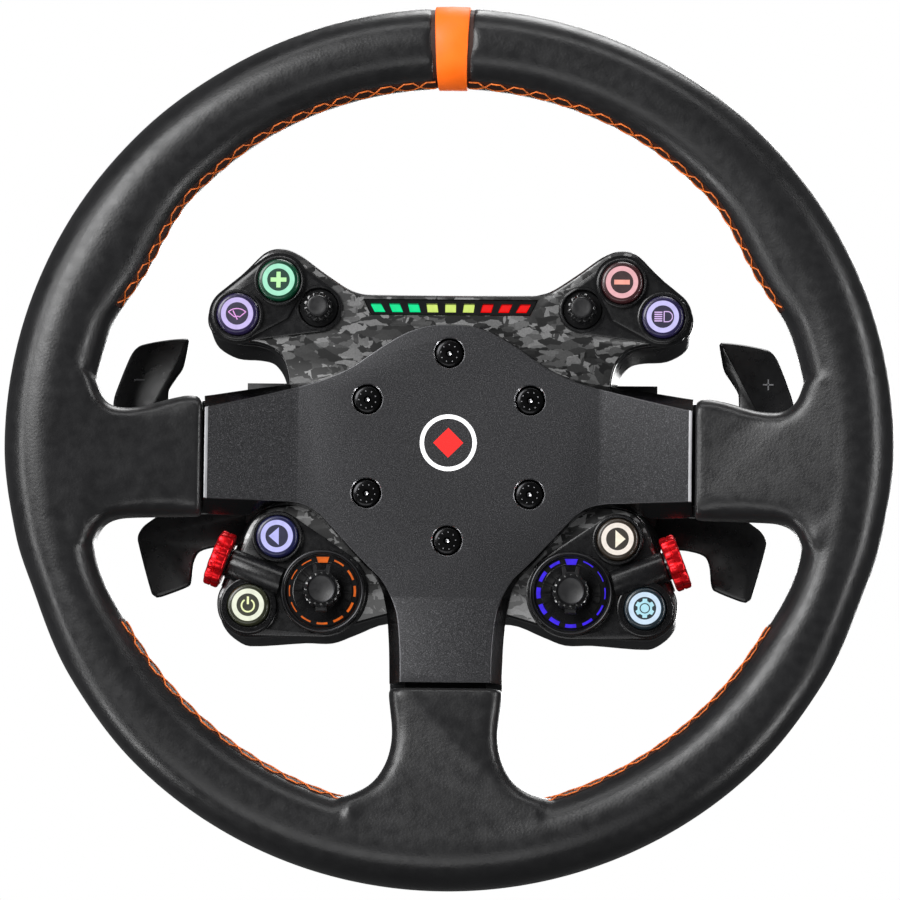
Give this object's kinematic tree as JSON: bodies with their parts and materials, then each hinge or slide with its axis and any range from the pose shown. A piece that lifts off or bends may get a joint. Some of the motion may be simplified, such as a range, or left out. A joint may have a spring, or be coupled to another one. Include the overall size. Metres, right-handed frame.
{
  "type": "sim racing steering wheel",
  "caption": "Round leather racing wheel on three spokes with lit button pods, dials, thumbwheels, shift and clutch paddles and a quick release.",
  "frame": {"origin": "centre of the rear face of the quick-release body", "axes": "the wheel turns about Y, the driver is at -Y, +Z is the top of the wheel"},
  "size_m": [0.331, 0.0849, 0.3305],
  "materials": {
    "satin_core": "machined, hidden inside the grip",
    "rim_leather": "black grained leather",
    "marker_leather": "orange dyed leather band",
    "plate_coat": "dark grey fine-sparkle powder coat",
    "bolt_black": "black oxide, semi-gloss",
    "carbon": "forged-carbon look, clear gloss",
    "pod_black": "satin black",
    "shell_black": "satin black",
    "board_green": "solder mask green",
    "mask_black": "gloss black",
    "bezel_black": "gloss black",
    "encoder_black": "satin dark grey",
    "knob_black": "satin black",
    "steel": "ground steel",
    "paddle_black": "black anodised, satin",
    "carrier_black": "black anodised",
    "wheel_red": "red anodised",
    "qr_black": "black anodised",
    "sleeve_alu": "turned, clear anodised",
    "lamp_green": "backlit translucent",
    "lamp_yellow": "backlit translucent",
    "lamp_red": "backlit translucent",
    "ring_orange": "backlit translucent",
    "ring_blue": "backlit translucent",
    "cap_green": "backlit translucent",
    "cap_pink": "backlit translucent",
    "cap_violet": "backlit translucent",
    "cap_blue": "backlit translucent",
    "cap_cream": "backlit translucent",
    "cap_white": "backlit translucent",
    "cap_ice": "backlit translucent"
  },
  "bodies": {
    "wheel": {"rim_core": "satin_core", "rim_wrap": "rim_leather", "centre_marker": "marker_leather", "front_plate": "plate_coat", "hub_bolt_1": "bolt_black", "hub_bolt_2": "bolt_black", "hub_bolt_3": "bolt_black", "hub_bolt_4": "bolt_black", "hub_bolt_5": "bolt_black", "hub_bolt_6": "bolt_black", "fascia_upper": "carbon", "fascia_lower_left": "carbon", "fascia_lower_right": "carbon", "insert_upper_left": "pod_black", "insert_upper_right": "pod_black", "insert_lower_left": "pod_black", "insert_lower_right": "pod_black", "rear_shell": "shell_black", "circuit_board": "board_green", "light_bar_mask": "mask_black", "light_bar_green": "lamp_green", "light_bar_yellow": "lamp_yellow", "light_bar_red": "lamp_red", "dial_bezel_left": "bezel_black", "dial_light_left": "ring_orange", "encoder_left": "encoder_black", "paddle_carrier_left": "carrier_black", "paddle_pin_left": "steel", "dial_bezel_right": "bezel_black", "dial_light_right": "ring_blue", "encoder_right": "encoder_black", "paddle_carrier_right": "carrier_black", "paddle_pin_right": "steel", "quick_release_body": "qr_black"},
    "button_plus_left": {"button_plus_left": "cap_green"},
    "button_wiper_left": {"button_wiper_left": "cap_violet"},
    "button_arrow_left": {"button_arrow_left": "cap_blue"},
    "button_power_left": {"button_power_left": "cap_white"},
    "stick_gimbal_left": {"stick_gimbal_left": "steel"},
    "stick_stem_left": {"stick_stem_left": "knob_black"},
    "stick_collar_left": {"stick_collar_left": "knob_black"},
    "dial_shaft_left": {"dial_shaft_left": "steel"},
    "dial_knob_left": {"dial_knob_left": "knob_black"},
    "thumbwheel_left": {"thumbwheel_left": "wheel_red"},
    "shift_paddle_left": {"shift_paddle_left": "paddle_black"},
    "clutch_paddle_left": {"clutch_paddle_left": "paddle_black"},
    "button_minus_right": {"button_minus_right": "cap_pink"},
    "button_beam_right": {"button_beam_right": "cap_violet"},
    "button_arrow_right": {"button_arrow_right": "cap_cream"},
    "button_menu_right": {"button_menu_right": "cap_ice"},
    "stick_gimbal_right": {"stick_gimbal_right": "steel"},
    "stick_stem_right": {"stick_stem_right": "knob_black"},
    "stick_collar_right": {"stick_collar_right": "knob_black"},
    "dial_shaft_right": {"dial_shaft_right": "steel"},
    "dial_knob_right": {"dial_knob_right": "knob_black"},
    "thumbwheel_right": {"thumbwheel_right": "wheel_red"},
    "shift_paddle_right": {"shift_paddle_right": "paddle_black"},
    "clutch_paddle_right": {"clutch_paddle_right": "paddle_black"},
    "release_sleeve": {"release_sleeve": "sleeve_alu"}
  },
  "joints": [
    {"name": "button_plus_left_press", "type": "slide", "parent": "wheel", "child": "button_plus_left", "axis": [0, 1, 0], "range_m": [0, 0.0014], "stiffness_N_per_m": 600, "springref_m": -0.0015},
    {"name": "button_wiper_left_press", "type": "slide", "parent": "wheel", "child": "button_wiper_left", "axis": [0, 1, 0], "range_m": [0, 0.0014], "stiffness_N_per_m": 600, "springref_m": -0.0015},
    {"name": "button_arrow_left_press", "type": "slide", "parent": "wheel", "child": "button_arrow_left", "axis": [0, 1, 0], "range_m": [0, 0.0014], "stiffness_N_per_m": 600, "springref_m": -0.0015},
    {"name": "button_power_left_press", "type": "slide", "parent": "wheel", "child": "button_power_left", "axis": [0, 1, 0], "range_m": [0, 0.0014], "stiffness_N_per_m": 600, "springref_m": -0.0015},
    {"name": "stick_left_up_down", "type": "hinge", "parent": "wheel", "child": "stick_gimbal_left", "pos_m": [-0.0492, -0.06, 0.0522], "axis": [1, 0, 0], "range_deg": [-6, 6], "stiffness_Nm_per_rad": 0.08},
    {"name": "stick_left_left_right", "type": "hinge", "parent": "stick_gimbal_left", "child": "stick_stem_left", "pos_m": [-0.0492, -0.06, 0.0522], "axis": [0, 0, 1], "range_deg": [-6, 6], "stiffness_Nm_per_rad": 0.08},
    {"name": "stick_left_collar_turn", "type": "hinge", "parent": "stick_stem_left", "child": "stick_collar_left", "pos_m": [-0.0492, -0.06, 0.0522], "axis": [0, 1, 0], "continuous": true},
    {"name": "dial_left_press", "type": "slide", "parent": "wheel", "child": "dial_shaft_left", "axis": [0, 1, 0], "range_m": [0, 0.0008], "stiffness_N_per_m": 1500, "springref_m": -0.0015},
    {"name": "dial_left_turn", "type": "hinge", "parent": "dial_shaft_left", "child": "dial_knob_left", "pos_m": [-0.0462, -0.072, -0.054], "axis": [0, 1, 0], "continuous": true},
    {"name": "thumbwheel_left_roll", "type": "hinge", "parent": "wheel", "child": "thumbwheel_left", "pos_m": [-0.0847, -0.0672, -0.0422], "axis": [-0.9336, 0, 0.3584], "continuous": true},
    {"name": "shift_paddle_left_pull", "type": "hinge", "parent": "wheel", "child": "shift_paddle_left", "pos_m": [-0.066, -0.032, 0], "axis": [0, 0, 1], "range_deg": [0, 4], "stiffness_Nm_per_rad": 3, "springref_deg": -3.44},
    {"name": "clutch_paddle_left_pull", "type": "hinge", "parent": "wheel", "child": "clutch_paddle_left", "pos_m": [-0.066, -0.032, 0], "axis": [0, 0, 1], "range_deg": [0, 15], "stiffness_Nm_per_rad": 0.8, "springref_deg": -8.59},
    {"name": "button_minus_right_press", "type": "slide", "parent": "wheel", "child": "button_minus_right", "axis": [0, 1, 0], "range_m": [0, 0.0014], "stiffness_N_per_m": 600, "springref_m": -0.0015},
    {"name": "button_beam_right_press", "type": "slide", "parent": "wheel", "child": "button_beam_right", "axis": [0, 1, 0], "range_m": [0, 0.0014], "stiffness_N_per_m": 600, "springref_m": -0.0015},
    {"name": "button_arrow_right_press", "type": "slide", "parent": "wheel", "child": "button_arrow_right", "axis": [0, 1, 0], "range_m": [0, 0.0014], "stiffness_N_per_m": 600, "springref_m": -0.0015},
    {"name": "button_menu_right_press", "type": "slide", "parent": "wheel", "child": "button_menu_right", "axis": [0, 1, 0], "range_m": [0, 0.0014], "stiffness_N_per_m": 600, "springref_m": -0.0015},
    {"name": "stick_right_up_down", "type": "hinge", "parent": "wheel", "child": "stick_gimbal_right", "pos_m": [0.0492, -0.06, 0.0522], "axis": [1, 0, 0], "range_deg": [-6, 6], "stiffness_Nm_per_rad": 0.08},
    {"name": "stick_right_left_right", "type": "hinge", "parent": "stick_gimbal_right", "child": "stick_stem_right", "pos_m": [0.0492, -0.06, 0.0522], "axis": [0, 0, 1], "range_deg": [-6, 6], "stiffness_Nm_per_rad": 0.08},
    {"name": "stick_right_collar_turn", "type": "hinge", "parent": "stick_stem_right", "child": "stick_collar_right", "pos_m": [0.0492, -0.06, 0.0522], "axis": [0, 1, 0], "continuous": true},
    {"name": "dial_right_press", "type": "slide", "parent": "wheel", "child": "dial_shaft_right", "axis": [0, 1, 0], "range_m": [0, 0.0008], "stiffness_N_per_m": 1500, "springref_m": -0.0015},
    {"name": "dial_right_turn", "type": "hinge", "parent": "dial_shaft_right", "child": "dial_knob_right", "pos_m": [0.0462, -0.072, -0.054], "axis": [0, 1, 0], "continuous": true},
    {"name": "thumbwheel_right_roll", "type": "hinge", "parent": "wheel", "child": "thumbwheel_right", "pos_m": [0.0847, -0.0672, -0.0422], "axis": [0.9336, 0, 0.3584], "continuous": true},
    {"name": "shift_paddle_right_pull", "type": "hinge", "parent": "wheel", "child": "shift_paddle_right", "pos_m": [0.066, -0.032, 0], "axis": [0, 0, -1], "range_deg": [0, 4], "stiffness_Nm_per_rad": 3, "springref_deg": -3.44},
    {"name": "clutch_paddle_right_pull", "type": "hinge", "parent": "wheel", "child": "clutch_paddle_right", "pos_m": [0.066, -0.032, 0], "axis": [0, 0, -1], "range_deg": [0, 15], "stiffness_Nm_per_rad": 0.8, "springref_deg": -8.59},
    {"name": "release_sleeve_slide", "type": "slide", "parent": "wheel", "child": "release_sleeve", "axis": [0, -1, 0], "range_m": [0, 0.006], "stiffness_N_per_m": 800, "springref_m": -0.005}
  ]
}
